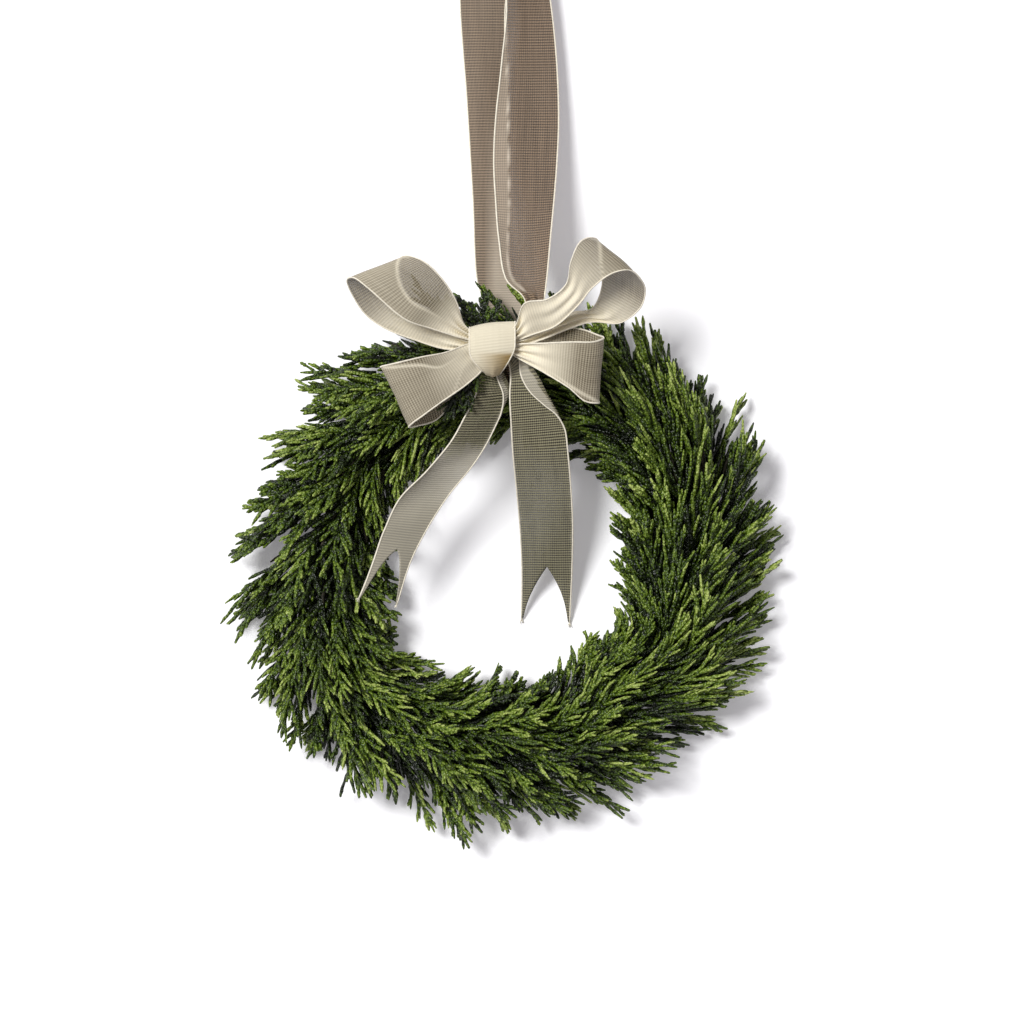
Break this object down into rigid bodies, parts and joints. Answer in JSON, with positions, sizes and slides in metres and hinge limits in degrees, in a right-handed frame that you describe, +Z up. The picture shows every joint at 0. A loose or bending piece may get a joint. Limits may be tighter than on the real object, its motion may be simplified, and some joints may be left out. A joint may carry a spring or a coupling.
{
  "type": "wreath",
  "caption": "Round wreath of juniper sprays bound to a wire ring, with a sheer ribbon bow, two swallow-tailed ends and a hanging loop.",
  "frame": {"origin": "middle of the whole footprint (wreath and hanging loop) on the plane it lies on", "axes": "+Z up out of the wreath's face, +Y from the wreath towards its hanging loop, +X to the right seen from above"},
  "size_m": [0.2348, 0.4, 0.0759],
  "materials": {
    "ring_steel": "dark green lacquer",
    "binding_wire": "green lacquer",
    "organza": "sheer woven organza",
    "juniper": "scale leaves, matt"
  },
  "bodies": {
    "root": {"wire_ring": "ring_steel", "binding_wire": "binding_wire", "ribbon_hanger": "organza", "ribbon_tails": "organza", "ribbon_bow": "organza", "ribbon_knot": "organza", "bunch_01": "juniper", "bunch_02": "juniper", "bunch_03": "juniper", "bunch_04": "juniper", "bunch_05": "juniper", "bunch_06": "juniper", "bunch_07": "juniper", "bunch_08": "juniper", "bunch_09": "juniper", "bunch_10": "juniper", "bunch_11": "juniper", "bunch_12": "juniper", "bunch_13": "juniper", "bunch_14": "juniper", "bunch_15": "juniper", "bunch_16": "juniper"}
  },
  "joints": []
}
